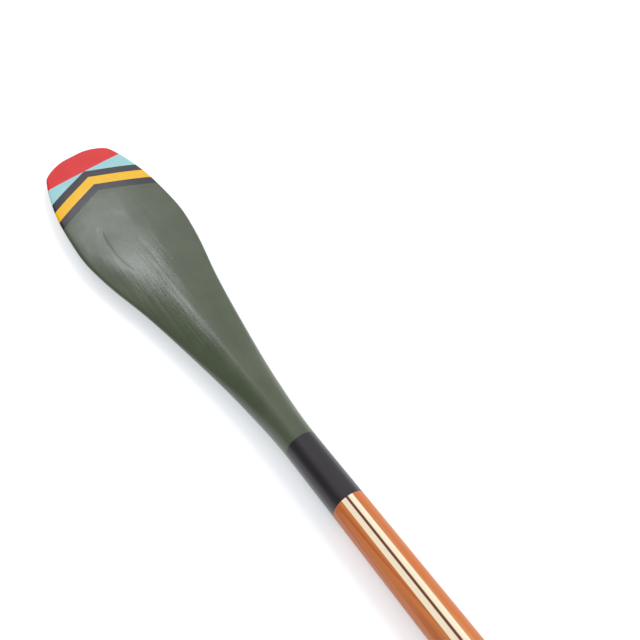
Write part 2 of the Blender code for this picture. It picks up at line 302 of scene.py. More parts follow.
def round_off(t, power):
    """Quarter of a superellipse: 0 at t = 0, level with 1 at t = 1."""
    t = min(max(t, 0.0), 1.0)
    return (1.0 - (1.0 - t) ** power) ** (1.0 / power)


def fair_curve(points, t):
    """Smooth curve through a few points, level at both ends and with no overshoot between them."""
    slopes = [0.0]
    for (x0, y0), (x1, y1), (x2, y2) in zip(points, points[1:], points[2:]):
        before = (y1 - y0) / (x1 - x0)
        after = (y2 - y1) / (x2 - x1)
        slopes.append(2 * before * after / (before + after) if before * after > 0 else 0.0)
    slopes.append(0.0)
    t = min(max(t, points[0][0]), points[-1][0])
    i = max(k for k in range(len(points) - 1) if points[k][0] <= t)
    (x0, y0), (x1, y1) = points[i], points[i + 1]
    span = x1 - x0
    u = (t - x0) / span
    return ((1 + 2 * u) * (1 - u) ** 2 * y0 + u * (1 - u) ** 2 * span * slopes[i]
            + u * u * (3 - 2 * u) * y1 + u * u * (u - 1) * span * slopes[i + 1])


def half_width(s):
    """Half the width of the paddle at distance s from the blade tip."""
    to_end = OVERALL_LENGTH - s
    if s < BLADE_LENGTH:
        if s < WIDEST_DISTANCE:
            fullness = fair_curve(TIP_FULLNESS, s / WIDEST_DISTANCE)
        else:
            fullness = fair_curve(THROAT_FULLNESS, (s - WIDEST_DISTANCE) / (BLADE_LENGTH - WIDEST_DISTANCE))
        width = SHAFT_HALF + (BLADE_WIDTH / 2 - SHAFT_HALF) * fullness
        return width * round_off(s / TIP_ROUND_LENGTH, TIP_ROUNDNESS)
    if to_end < CROWN_DISTANCE:
        return GRIP_WIDTH / 2 * round_off(to_end / CROWN_DISTANCE, GRIP_ROUNDNESS)
    flare = 1.0 - ease((to_end - CROWN_DISTANCE) / (FLARE_LENGTH - CROWN_DISTANCE))
    return SHAFT_HALF + (GRIP_WIDTH / 2 - SHAFT_HALF) * flare


def half_depth(s):
    """Half the thickness of the paddle on its centre line at distance s from the blade tip."""
    to_end = OVERALL_LENGTH - s
    edge, flat = BLADE_EDGE_THICKNESS / 2, BLADE_FLAT_THICKNESS / 2
    if s < BLADE_LENGTH:
        rise = fair_curve(RIDGE_RISE, (s - FLAT_LENGTH) / (BLADE_LENGTH - FLAT_LENGTH))
        thinned = edge + (flat - edge) * ease(s / TIP_THINNED_LENGTH)
        return (thinned + (SHAFT_DEPTH / 2 - flat) * rise) * round_off(s / TIP_EDGE_LENGTH, 2.0)
    if to_end < CROWN_DISTANCE:
        return GRIP_DEPTH / 2 * round_off(to_end / CROWN_DISTANCE, GRIP_ROUNDNESS)
    if to_end < NECK_DISTANCE:
        share = ease((NECK_DISTANCE - to_end) / (NECK_DISTANCE - CROWN_DISTANCE))
        return (NECK_DEPTH + (GRIP_DEPTH - NECK_DEPTH) * share) / 2
    share = ease((to_end - NECK_DISTANCE) / (TAPER_LENGTH - NECK_DISTANCE))
    return (NECK_DEPTH + (SHAFT_DEPTH - NECK_DEPTH) * share) / 2


def blade_height(s, y):
    """Half thickness of the blade at y: a flat that narrows to a soft ridge, and a full round edge."""
    width, depth = half_width(s), half_depth(s)
    flat = FLAT_HALF_WIDTH * (1.0 - ease((s - FLAT_LENGTH) / (TONGUE_LENGTH - FLAT_LENGTH)))
    flat = min(flat, width / 2)
    t = max(0.0, y - flat) / (width - flat)
    toward_throat = ease((s - FLAT_LENGTH) / (BLADE_LENGTH - FLAT_LENGTH))
    soft = FLAT_SOFTNESS + (CREST_SOFTNESS - FLAT_SOFTNESS) * toward_throat
    crest = (math.hypot(1, soft) - math.hypot(t, soft)) / (math.hypot(1, soft) - soft)
    rounding = min(BLADE_EDGE_THICKNESS / 2 * round_off(s / TIP_EDGE_LENGTH, 2.0), depth)
    past_round = max(0.0, y - (width - rounding)) / rounding
    return rounding * math.sqrt(max(0.0, 1.0 - past_round ** 2)) + (depth - rounding) * crest


def section_height(s, across):
    """Half thickness at a share of the half width, at distance s from the blade tip."""
    toward_grip = 1.0 - ease((OVERALL_LENGTH - s) / TAPER_LENGTH)
    power = SHAFT_SQUARENESS + (GRIP_SQUARENESS - SHAFT_SQUARENESS) * toward_grip
    oval = ease((s - OVAL_START) / (BLADE_LENGTH - OVAL_START))
    height = oval * half_depth(s) * max(0.0, 1.0 - across ** power) ** (1.0 / power)
    if oval < 1:
        height += (1 - oval) * blade_height(s, across * half_width(s))
    return height


def spread(first, last, count, crowding=1.0):
    """Distances from first up to last, closer together near the first where crowding is above 1."""
    return [first + (last - first) * (i / count) ** crowding for i in range(count)]


def select_only(ring, chosen):
    """Select some of a ring's points, and no others of it."""
    for v in ring:
        v.select = False
    for v in chosen:
        v.select = True


def fit_ring(blank, s):
    """Bring the selected ring to the paddle's section: first its width, then its height place by place."""
    bm = bmesh.from_edit_mesh(blank.data)
    ring = sorted((v for v in bm.verts if v.select), key=lambda v: abs(v.co.y))
    centre = (0, 0, AXIS_HEIGHT)
    wide = abs(ring[-1].co.y)
    bpy.ops.transform.resize(value=(1, half_width(s) / wide, 1), center_override=centre)
    groups = [ring[:2]] + [ring[i:i + 4] for i in range(2, len(ring) - 2, 4)]
    for group in groups:
        across = abs(group[0].co.y) / half_width(s)
        high = max(abs(v.co.z - AXIS_HEIGHT) for v in group)
        select_only(ring, group)
        bpy.ops.transform.resize(value=(1, 1, section_height(s, across) / high), center_override=centre)
    for v in ring:
        v.select = True
    bm.select_flush(True)


def draw_out(blank, distances):
    """Extrude the selected ring from section to section."""
    here = bmesh.from_edit_mesh(blank.data)
    x = next(v.co.x for v in here.verts if v.select)
    for s in distances:
        bpy.ops.mesh.extrude_region_move(TRANSFORM_OT_translate={"value": (TIP_X + s - x, 0, 0)})
        fit_ring(blank, s)
        x = TIP_X + s


def select_where(obj, test):
    """Select the points that pass a test, in edit mode, with the edges and faces between them."""
    bm = bmesh.from_edit_mesh(obj.data)
    bpy.ops.mesh.select_all(action="DESELECT")
    for v in bm.verts:
        v.select = test(v.co)
    bm.select_flush(True)
    bmesh.update_edit_mesh(obj.data)


def face_out(piece):
    """Make the faces look outwards. The highest face of any piece of the paddle looks up."""
    pick(piece)
    bpy.ops.object.mode_set(mode="EDIT")
    bpy.ops.mesh.select_all(action="SELECT")
    bpy.ops.mesh.normals_make_consistent(inside=False)
    bpy.ops.object.mode_set(mode="OBJECT")
    highest = max(piece.data.polygons, key=lambda face: face.center.z)
    if highest.normal.z < 0:
        piece.data.flip_normals()


def apply(piece, kind, **settings):
    """Put a modifier on a piece and apply it."""
    modifier = piece.modifiers.new(kind.lower(), kind)
    for key, value in settings.items():
        setattr(modifier, key, value)
    pick(piece)
    bpy.ops.object.modifier_apply(modifier=modifier.name)


def carved_blank():
    """The outside of the whole paddle, from the blade tip to the end of the grip."""
    deselect()
    bpy.ops.mesh.primitive_circle_add(vertices=SECTION_POINTS, radius=SHAFT_HALF, fill_type="NOTHING",
                                      location=(TIP_X + PAINT_LENGTH, 0, AXIS_HEIGHT),
                                      rotation=(math.pi / 2, 0, math.pi / 2))
    blank = bpy.context.object
    blank.name = "carved_blank"
    bpy.ops.object.transform_apply(location=True, rotation=True, scale=True)
    bpy.ops.object.mode_set(mode="EDIT")
    bpy.ops.mesh.select_all(action="SELECT")
    fit_ring(blank, PAINT_LENGTH)

    tip = spread(FIRST_SECTION, TIP_ROUND_LENGTH, TIP_SECTIONS, END_CROWDING)
    spoon = spread(TIP_ROUND_LENGTH, WIDEST_DISTANCE, SPOON_SECTIONS)
    throat = spread(WIDEST_DISTANCE, BLADE_LENGTH, THROAT_SECTIONS)
    band = spread(BLADE_LENGTH, PAINT_LENGTH, BAND_SECTIONS)
    draw_out(blank, reversed(tip + spoon + throat + band))
    bpy.ops.mesh.extrude_region_move(TRANSFORM_OT_translate={"value": (-FIRST_SECTION, 0, 0)})
    bpy.ops.transform.resize(value=(1, TIP_SEAM_SHARE, 0), center_override=(0, 0, AXIS_HEIGHT))
    bpy.ops.mesh.remove_doubles(threshold=MERGE_DISTANCE)

    select_where(blank, lambda co: abs(co.x - TIP_X - PAINT_LENGTH) < SAW_TOLERANCE)
    neck_start = OVERALL_LENGTH - TAPER_LENGTH
    crown_start = OVERALL_LENGTH - CROWN_DISTANCE
    shaft = spread(PAINT_LENGTH, neck_start, SHAFT_SECTIONS)
    neck = spread(neck_start, crown_start, NECK_SECTIONS)
    crown = [OVERALL_LENGTH - d for d in spread(FIRST_SECTION, CROWN_DISTANCE, CROWN_SECTIONS, END_CROWDING)]
    draw_out(blank, shaft[1:] + neck + [crown_start] + crown[::-1])
    bpy.ops.mesh.fill_grid()
    face_out(blank)
    apply(blank, "SUBSURF", levels=SMOOTHING, render_levels=SMOOTHING)

    size = blank.dimensions
    middle = (blank.bound_box[0][0] + blank.bound_box[6][0]) / 2
    bpy.ops.transform.translate(value=(-middle, 0, 0))
    bpy.ops.transform.resize(value=(OVERALL_LENGTH / size.x, BLADE_WIDTH / size.y, GRIP_DEPTH / size.z),
                             center_override=(0, 0, AXIS_HEIGHT))
    bpy.ops.object.transform_apply(location=True, rotation=True, scale=True)
    return blank


def copy_of(form, name):
    """A copy with its own mesh, selected alone."""
    pick(form)
    bpy.ops.object.duplicate(linked=False)
    piece = bpy.context.object
    piece.name = name
    piece.data.name = name
    return piece


def saw(place, away, fill):
    """Cut through a place and take off the side that away points to. Fill closes the cut with one face."""
    bpy.ops.mesh.select_all(action="SELECT")
    bpy.ops.mesh.bisect(plane_co=place, plane_no=away, clear_outer=True, threshold=SAW_TOLERANCE)
    if fill:
        bpy.ops.mesh.select_all(action="DESELECT")
        bpy.ops.mesh.select_non_manifold()
        bpy.ops.mesh.edge_face_add()
        bpy.ops.mesh.mark_sharp()


def sawn(form, name, cuts, fill=True):
    """A copy of a form, cut by each plane in turn."""
    piece = copy_of(form, name)
    bpy.ops.object.mode_set(mode="EDIT")
    for place, away in cuts:
        saw(place, away, fill)
    bpy.ops.object.mode_set(mode="OBJECT")
    return piece


def finish(piece, material, nodes):
    """Shade a piece, give it its material and let it stand for its CAD nodes."""
    pick(piece)
    bpy.ops.object.shade_smooth_by_angle(angle=SHARP_ANGLE)
    piece.data.materials.clear()
    piece.data.materials.append(material)
    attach(piece, "root")
    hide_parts(*nodes)


def let_in_wood(blank):
    """The wood under the sheath: the carved blank, let in from the tip to the end of the black band."""
    step = TIP_X + PAINT_LENGTH
    wood = sawn(blank, "let_in_wood", [((TIP_X + NOSE_CUT, 0, 0), (-1, 0, 0))])
    bpy.ops.object.mode_set(mode="EDIT")
    for x in (step, step - FIRST_SECTION):
        bpy.ops.mesh.select_all(action="SELECT")
        bpy.ops.mesh.bisect(plane_co=(x, 0, 0), plane_no=(1, 0, 0), threshold=SAW_TOLERANCE)
    select_where(wood, lambda co: co.x < step - FIRST_SECTION / 2)
    bpy.ops.transform.shrink_fatten(value=-SHEATH_RECESS)
    bpy.ops.object.mode_set(mode="OBJECT")
    return wood


def slab(wood, name, hand, near, far, start=None):
    """The part of the wood between two glue faces, or out to its own side where far is None.

    Hand is 1 for the left and -1 for the right. A slab with a start reaches from there to the grip end.
    """
    cuts = [((0, hand * near, 0), (0, -hand, 0))]
    if far is not None:
        cuts.append(((0, hand * far, 0), (0, hand, 0)))
    if start is not None:
        cuts.append(((start, 0, 0), (-1, 0, 0)))
    return sawn(wood, name, cuts)


def chevron_cut(distance, hand, away):
    """The plane of one arm of a chevron's edge. Away is 1 to take off the shaft's side, -1 for the tip's."""
    slope = LEFT_CHEVRON_SLOPE if hand > 0 else RIGHT_CHEVRON_SLOPE
    return (TIP_X + distance, 0, 0), (away, -away * hand * slope, 0)


def shell(piece):
    """Give a band of the carved surface the thickness of the sheath, inwards."""
    apply(piece, "SOLIDIFY", thickness=SHEATH_THICKNESS, offset=-1, use_even_offset=True)


def square_band(blank, name, start, stop):
    """A band of the sheath that ends square across the blade."""
    cuts = []
    if start > 0:
        cuts.append(((TIP_X + start, 0, 0), (-1, 0, 0)))
    cuts.append(((TIP_X + stop, 0, 0), (1, 0, 0)))
    band = sawn(blank, name, cuts, fill=False)
    shell(band)
    return band


def half_band(blank, name, hand, cuts):
    """One half of a band of the sheath, on one side of the centre line."""
    return sawn(blank, name, [((0, 0, 0), (0, -hand, 0))] + cuts, fill=False)


def chevron_band(blank, name, start, stop):
    """A band of the sheath between two chevron edges, or from one to a square end."""
    halves = []
    for hand in (1, -1):
        cuts = [chevron_cut(start, hand, -1)]
        if stop < BLADE_LENGTH:
            cuts.append(chevron_cut(stop, hand, 1))
        else:
            cuts.append(((TIP_X + stop, 0, 0), (1, 0, 0)))
        halves.append(half_band(blank, name, hand, cuts))
    for half in halves:
        half.select_set(True)
    bpy.ops.object.join()
    band = bpy.context.object
    bpy.ops.object.mode_set(mode="EDIT")
    bpy.ops.mesh.select_all(action="SELECT")
    bpy.ops.mesh.remove_doubles(threshold=MERGE_DISTANCE)
    face_out(band)
    shell(band)
    band.name = name
    band.data.name = name
    return band


def teal_corner(blank, name, hand):
    """The corner between the red tip and the outer chevron, on one side."""
    corner = half_band(blank, name, hand, [((TIP_X + RED_TIP_LENGTH, 0, 0), (-1, 0, 0)),
                                           chevron_cut(RED_TIP_LENGTH, hand, 1)])
    shell(corner)
    return corner


def srgb(red, green, blue):
    """A colour as the eye names it, from 0 to 255, in the linear values that a shader takes."""
    def linear(c):
        c /= 255
        return c / 12.92 if c <= 0.04045 else ((c + 0.055) / 1.055) ** 2.4
    return (linear(red), linear(green), linear(blue), 1.0)


def add_node(tree, kind, **settings):
    """A node with its settings."""
    made = tree.nodes.new(kind)
    for key, value in settings.items():
        setattr(made, key, value)
    return made


def feed(tree, source, target):
    """Plug a value, or the output of another node, into a socket."""
    if isinstance(source, bpy.types.NodeSocket):
        tree.links.new(source, target)
    else:
        target.default_value = source


def math_node(tree, operation, *values):
    """A Math node with its values plugged in; returns its output."""
    made = add_node(tree, "ShaderNodeMath", operation=operation)
    for value, socket in zip(values, made.inputs):
        feed(tree, value, socket)
    return made.outputs[0]


def product(tree, first, *others):
    """Values multiplied one after another."""
    for value in others:
        first = math_node(tree, "MULTIPLY", first, value)
    return first


def axes(tree, vector):
    """The X, Y and Z of a vector."""
    split = add_node(tree, "ShaderNodeSeparateXYZ")
    feed(tree, vector, split.inputs[0])
    return split.outputs["X"], split.outputs["Y"], split.outputs["Z"]


def stretched_noise(tree, vector, scale, detail, roughness=0.5):
    """Noise on a stretched copy of the coordinates, from 0 to 1."""
    place = add_node(tree, "ShaderNodeMapping")
    feed(tree, vector, place.inputs["Vector"])
    place.inputs["Scale"].default_value = scale
    noise = add_node(tree, "ShaderNodeTexNoise")
    noise.inputs["Scale"].default_value = 1.0
    noise.inputs["Detail"].default_value = detail
    noise.inputs["Roughness"].default_value = roughness
    feed(tree, place.outputs["Vector"], noise.inputs["Vector"])
    return noise.outputs["Fac"]


def remap(tree, value, low, high, to_low=0.0, to_high=1.0):
    """Bring a value smoothly from one range to another, held at its ends."""
    made = add_node(tree, "ShaderNodeMapRange", interpolation_type="SMOOTHSTEP")
    for source, name in ((value, "Value"), (low, "From Min"), (high, "From Max"),
                         (to_low, "To Min"), (to_high, "To Max")):
        feed(tree, source, made.inputs[name])
    return made.outputs["Result"]


def along_blade(tree, x, stretch, to_low=0.0, to_high=1.0):
    """A value that changes over a stretch of the blade, given as two distances from the tip."""
    start, end = stretch
    return remap(tree, x, TIP_X + start, TIP_X + end, to_low, to_high)


def blend(tree, share, first, second):
    """Mix two colours."""
    made = add_node(tree, "ShaderNodeMix", data_type="RGBA")
    feed(tree, share, made.inputs["Factor"])
    feed(tree, first, made.inputs["A"])
    feed(tree, second, made.inputs["B"])
    return next(s for s in made.outputs if s.type == "RGBA")


def new_group(name, inputs, outputs):
    """An empty shader node group; returns it with the sockets that it is given and that it puts out."""
    group = bpy.data.node_groups.new(name, "ShaderNodeTree")
    group.interface.new_socket("Vector", in_out="INPUT", socket_type="NodeSocketVector")
    for label, value in inputs.items():
        socket = group.interface.new_socket(label, in_out="INPUT", socket_type="NodeSocketFloat")
        socket.default_value = value
    for label in outputs:
        group.interface.new_socket(label, in_out="OUTPUT", socket_type="NodeSocketFloat")
    return group, add_node(group, "NodeGroupInput").outputs, add_node(group, "NodeGroupOutput").inputs


def wood_grain_group():
    """Growth rings cut through by the carved surface, broad figure along them, and fine fibres."""
    group, given, out = new_group(
        "wood_grain",
        {"Ring Spacing": 0.002, "Waviness": 0.002, "Heart Y": HEART_Y, "Heart Z": HEART_Z, "Run Out": 0.0},
        ("Rings", "Figure", "Fibres"))
    vector = given["Vector"]
    x, y, z = axes(group, vector)
    wander = stretched_noise(group, vector, RING_WANDER, 2.0)
    wander = product(group, math_node(group, "SUBTRACT", wander, 0.5), given["Waviness"])
    dy = math_node(group, "SUBTRACT", y, given["Heart Y"])
    dz = math_node(group, "SUBTRACT", z, given["Heart Z"])
    square = math_node(group, "ADD", product(group, dy, dy), product(group, dz, dz))
    radius = math_node(group, "ADD", math_node(group, "SQRT", square), wander)
    radius = math_node(group, "MULTIPLY_ADD", x, given["Run Out"], radius)
    phase = math_node(group, "FRACT", math_node(group, "DIVIDE", radius, given["Ring Spacing"]))
    early = remap(group, phase, *EARLY_WOOD)
    late = remap(group, phase, LATE_WOOD_END, 1.0, 1.0, 0.0)
    feed(group, product(group, early, late), out["Rings"])
    feed(group, stretched_noise(group, vector, WOOD_FIGURE, 3.0), out["Figure"])
    feed(group, stretched_noise(group, vector, WOOD_FIBRES, 3.0, 0.6), out["Fibres"])
    return group


def glue_line_group():
    """A thin line where two laminations meet, at one distance from the centre line."""
    group, given, out = new_group(
        "glue_line",
        {"Distance": CREAM_EDGE, "Line Width": GLUE_LINE_WIDTH},
        ("Line",))
    _, y, _ = axes(group, given["Vector"])
    off = math_node(group, "SUBTRACT", math_node(group, "ABSOLUTE", y), given["Distance"])
    off = math_node(group, "ABSOLUTE", off)
    feed(group, remap(group, off, 0.0, given["Line Width"], 1.0, 0.0), out["Line"])
    return group


def cloth_weave(tree, x, y, pitch):
    """The crossed threads of the cloth, from -1 to 1."""
    threads = []
    for along in (x, y):
        turn = math_node(tree, "DIVIDE", along, pitch)
        threads.append(math_node(tree, "SINE", product(tree, turn, math.tau)))
    return product(tree, *threads)


def sanded_crown(tree, x, y, curve):
    """How far the flat of the blade falls away from its centre line, until the ridge takes over."""
    off = math_node(tree, "MINIMUM", math_node(tree, "ABSOLUTE", y), FLAT_HALF_WIDTH)
    flat = along_blade(tree, x, (FLAT_LENGTH, TONGUE_LENGTH), 1.0, 0.0)
    flat = product(tree, flat, along_blade(tree, x, CROWN_GROWS, CROWN_SHARE_AT_TIP, 1.0))
    return product(tree, product(tree, off, off, curve), flat)


def sanded_crest(tree, x, y):
    """Distance from the top of the ridge, rounded over its own half width, where the crest is sharper."""
    away = math_node(tree, "ADD", product(tree, y, y), CREST_HALF_WIDTH ** 2)
    away = math_node(tree, "SQRT", away)
    return product(tree, away, along_blade(tree, x, CREST_STARTS), along_blade(tree, x, CREST_ENDS, 1.0, 0.0))


def sheath_group():
    """Paint over glass cloth: slow drift of tone, brush streaks, and the height of the hand-sanded surface.

    The height is in metres. It adds up the cloth's weave, long ripples along the blade, fine sanding marks
    beside the ridge, dents and slow swells, the slight crown of the flat and the crest of the ridge. Dulled
    is 1 from the throat on, where the varnish is less glossy.
    """
    group, given, out = new_group(
        "painted_cloth",
        {"Weave Pitch": WEAVE_PITCH, "Weave Height": WEAVE_HEIGHT, "Ripple Height": RIPPLE_HEIGHT,
         "Mark Height": MARK_HEIGHT, "Dent Height": DENT_HEIGHT, "Swell Height": SWELL_HEIGHT,
         "Crown": CROWN_CURVE},
        ("Tone", "Streaks", "Dulled", "Height"))
    vector = given["Vector"]
    x, y, _ = axes(group, vector)
    feed(group, stretched_noise(group, vector, PAINT_DRIFT, 3.0), out["Tone"])
    feed(group, stretched_noise(group, vector, BRUSH_STREAKS, 2.0), out["Streaks"])
    feed(group, along_blade(group, x, DULLING_STARTS), out["Dulled"])

    height = product(group, cloth_weave(group, x, y, given["Weave Pitch"]), given["Weave Height"])
    sanded = along_blade(group, x, RIPPLES_START)
    scraped = along_blade(group, x, SCRAPING_STARTS, 1.0, SCRAPED_RIPPLES)
    ripples = product(group, sanded, scraped, stretched_noise(group, vector, SANDING_RIPPLES, 3.0))
    beside = remap(group, y, *MARKS_SIDE, 1.0, 0.0)
    starts = along_blade(group, x, MARKS_START)
    ends = along_blade(group, x, MARKS_END, 1.0, 0.0)
    marks = product(group, beside, starts, ends, stretched_noise(group, vector, SANDING_MARKS, 1.0))
    dents = stretched_noise(group, vector, DENTS, 1.0)
    swells = stretched_noise(group, vector, SWELLS, 2.0)
    for pattern, name in ((ripples, "Ripple"), (marks, "Mark"), (dents, "Dent"), (swells, "Swell")):
        height = math_node(group, "MULTIPLY_ADD", pattern, given[f"{name} Height"], height)
    height = math_node(group, "SUBTRACT", height, sanded_crown(group, x, y, given["Crown"]))
    height = math_node(group, "MULTIPLY_ADD", sanded_crest(group, x, y), -CREST_SLOPE, height)
    feed(group, height, out["Height"])
    return group


def crease(tree, vector):
    """A fold of the cloth under the paint on the upper face: 1 on its line, 0 away from it.

    The line bows out towards the edge of the blade, and a fainter loop lies at its tip end.
    """
    x, y, z = axes(tree, vector)
    along = math_node(tree, "SUBTRACT", x, TIP_X + CREASE_MIDDLE)
    bow = product(tree, along, along, CREASE_BOW)
    off = math_node(tree, "SUBTRACT", math_node(tree, "ADD", y, CREASE_OFFSET), bow)
    line = remap(tree, math_node(tree, "ABSOLUTE", off), 0.0, CREASE_WIDTH, 1.0, 0.0)
    starts = along_blade(tree, x, (CREASE_START, CREASE_START + CREASE_RUN_IN))
    ends = along_blade(tree, x, (CREASE_END - CREASE_RUN_OUT, CREASE_END), 1.0, 0.0)
    line = product(tree, starts, ends, line)

    loop_middle = CREASE_START + CREASE_LOOP_LENGTH / 2 - CREASE_MIDDLE
    ahead = math_node(tree, "SUBTRACT", along, loop_middle)
    ahead = product(tree, ahead, CREASE_LOOP_WIDTH / CREASE_LOOP_LENGTH)
    beside = math_node(tree, "ADD", off, CREASE_LOOP_WIDTH / 2)
    square = math_node(tree, "ADD", product(tree, ahead, ahead), product(tree, beside, beside))
    outside = math_node(tree, "SUBTRACT", math_node(tree, "SQRT", square), CREASE_LOOP_WIDTH / 2)
    outside = math_node(tree, "ABSOLUTE", outside)
    loop = remap(tree, outside, 0.0, CREASE_WIDTH / 2, CREASE_LOOP_SHARE, 0.0)
    above = math_node(tree, "GREATER_THAN", z, AXIS_HEIGHT)
    return product(tree, math_node(tree, "MAXIMUM", line, loop), above)


def new_material(name):
    """A material with its own Principled shader and Object coordinates."""
    material = bpy.data.materials.new(name)
    material.use_nodes = True
    tree = material.node_tree
    coordinates = add_node(tree, "ShaderNodeTexCoord")
    return material, tree, tree.nodes["Principled BSDF"], coordinates.outputs["Object"]


def use_group(tree, group, vector, **values):
    """Place a node group in a material, with its own values."""
    made = add_node(tree, "ShaderNodeGroup", node_tree=group)
    feed(tree, vector, made.inputs["Vector"])
    for label, value in values.items():
        made.inputs[label.replace("_", " ")].default_value = value
    return made.outputs


def bump_from(tree, height, distance, strength, shader):
    """Let a height shape the surface that the shader sees."""
    bump = add_node(tree, "ShaderNodeBump")
    bump.inputs["Strength"].default_value = strength
    bump.inputs["Distance"].default_value = distance
    feed(tree, height, bump.inputs["Height"])
    feed(tree, bump.outputs["Normal"], shader.inputs["Normal"])


def varnish(shader):
    """Clear varnish over bare wood."""
    shader.inputs["Specular IOR Level"].default_value = 0.15
    shader.inputs["Coat Weight"].default_value = 0.25
    shader.inputs["Coat Roughness"].default_value = 0.16
    shader.inputs["Coat IOR"].default_value = 1.5


def wood_material(name, colors, groups, grain, lines, ring_depth, figure_depth, grip_colors=None):
    """Varnished wood: rings, figure, fibres, and glue lines at their distances from the centre line.

    Colours are of early and late wood. Grip colours take over towards the grip, in long streaks.
    """
    material, tree, shader, vector = new_material(name)
    early, late = [srgb(*color) for color in colors]
    wood = use_group(tree, groups["grain"], vector, **grain)
    rings = product(tree, wood["Rings"], ring_depth)
    figure = remap(tree, wood["Figure"], *FIGURE_SHOWS, 0.0, figure_depth)
    depth = math_node(tree, "MINIMUM", math_node(tree, "ADD", rings, figure), 1.0)
    color = blend(tree, depth, early, late)
    if grip_colors:
        golden = blend(tree, depth, *[srgb(*grip_color) for grip_color in grip_colors])
        x, _, _ = axes(tree, vector)
        streaks = product(tree, math_node(tree, "SUBTRACT", wood["Figure"], 0.5), FIGURE_REACH)
        finer = math_node(tree, "SUBTRACT", wood["Fibres"], 0.5)
        streaks = math_node(tree, "MULTIPLY_ADD", finer, FIBRE_REACH, streaks)
        along = math_node(tree, "ADD", x, streaks)
        color = blend(tree, remap(tree, along, GOLDEN_START, GOLDEN_END), color, golden)
    fibres = remap(tree, wood["Fibres"], *FIBRES_SHOW, 0.0, FIBRE_TINT)
    color = blend(tree, fibres, color, blend(tree, 0.5, late, color))
    for distance in lines:
        glue = use_group(tree, groups["glue"], vector, Distance=distance)
        color = blend(tree, product(tree, glue["Line"], GLUE_TINT), color, srgb(*GLUE_BROWN))
    feed(tree, color, shader.inputs["Base Color"])
    feed(tree, remap(tree, wood["Fibres"], *GLOSS_VARIES, *WOOD_ROUGHNESS), shader.inputs["Roughness"])
    bump_from(tree, wood["Fibres"], FIBRE_DEPTH, FIBRE_BUMP, shader)
    varnish(shader)
    return material


def paint_material(name, colors, groups, creased):
    """Paint under clear varnish: a slow drift of tone, brush streaks, and the hand-sanded surface."""
    material, tree, shader, vector = new_material(name)
    plain, shade = [srgb(*color) for color in colors]
    cloth = use_group(tree, groups["sheath"], vector)
    height = cloth["Height"]
    drift = remap(tree, cloth["Tone"], *DRIFT_SHOWS)
    color = blend(tree, product(tree, drift, SHADE_IN_DRIFT), plain, shade)
    streaks = remap(tree, cloth["Streaks"], *STREAKS_SHOW, 0.0, SHADE_IN_STREAKS)
    color = blend(tree, streaks, color, shade)
    # Where creased, the fold is a dent in the height, and painted shade darkens the colour along its line
    if creased:
        fold = crease(tree, vector)
        height = math_node(tree, "MULTIPLY_ADD", fold, -CREASE_DEPTH, height)
        color = blend(tree, product(tree, fold, PAINTED_SHADE_IN_FOLD), color, srgb(*FOLD_PAINTED_SHADE))
    feed(tree, color, shader.inputs["Base Color"])
    roughness = remap(tree, cloth["Streaks"], *GLOSS_VARIES, *PAINT_ROUGHNESS)
    roughness = math_node(tree, "MULTIPLY_ADD", cloth["Dulled"], DULLED_ROUGHNESS, roughness)
    feed(tree, roughness, shader.inputs["Roughness"])
    bump_from(tree, height, 1.0, 1.0, shader)
    shader.inputs["IOR"].default_value = PAINT_IOR
    return material


def wooden_pieces(wood, groups):
    """The strips, rails, layers and cheeks, cut from the let-in wood; returns the woods of the planks."""
    cedar = wood_material("varnished_cedar", RED_CEDAR, groups,
                          {"Ring_Spacing": 0.0016, "Waviness": 0.007, "Run_Out": 0.012},
                          (CREAM_EDGE,), 0.5, 0.3, GOLDEN_CEDAR)
    basswood = wood_material("varnished_basswood", BASSWOOD, groups,
                             {"Ring_Spacing": 0.0035, "Waviness": 0.004},
                             (CREAM_EDGE,), 0.35, 0.35)
    walnut = wood_material("varnished_walnut", WALNUT, groups,
                           {"Ring_Spacing": 0.006, "Waviness": 0.02, "Heart_Y": 0.03, "Heart_Z": -0.06},
                           (LAYER_EDGE,), 0.5, 0.7)
    heartwood = wood_material("varnished_heartwood", HEARTWOOD, groups,
                              {"Ring_Spacing": 0.004, "Waviness": 0.01},
                              (), 0.4, 0.5)
    strip = slab(wood, "walnut_centre_strip", 1, -CENTRE_EDGE, CENTRE_EDGE)
    finish(strip, heartwood, ["centre_strip"])
    for side, hand in (("left", 1), ("right", -1)):
        pieces = (("basswood_strip", CENTRE_EDGE, CREAM_EDGE, None, basswood, "basswood", "cream_strip"),
                  ("cedar_rail", CREAM_EDGE, RAIL_EDGE, None, cedar, "red_cedar", "shaft_rail"),
                  ("basswood_grip_layer", RAIL_EDGE, LAYER_EDGE, 0.0, basswood, "basswood", "grip_layer"),
                  ("walnut_palm_cheek", LAYER_EDGE, None, 0.0, walnut, "walnut", "grip_cheek"))
        for name, near, far, start, material, slot, node in pieces:
            piece = slab(wood, f"{name}_{side}", hand, near, far, start)
            finish(piece, material, [f"{node}_{side}"])
    return cedar, basswood


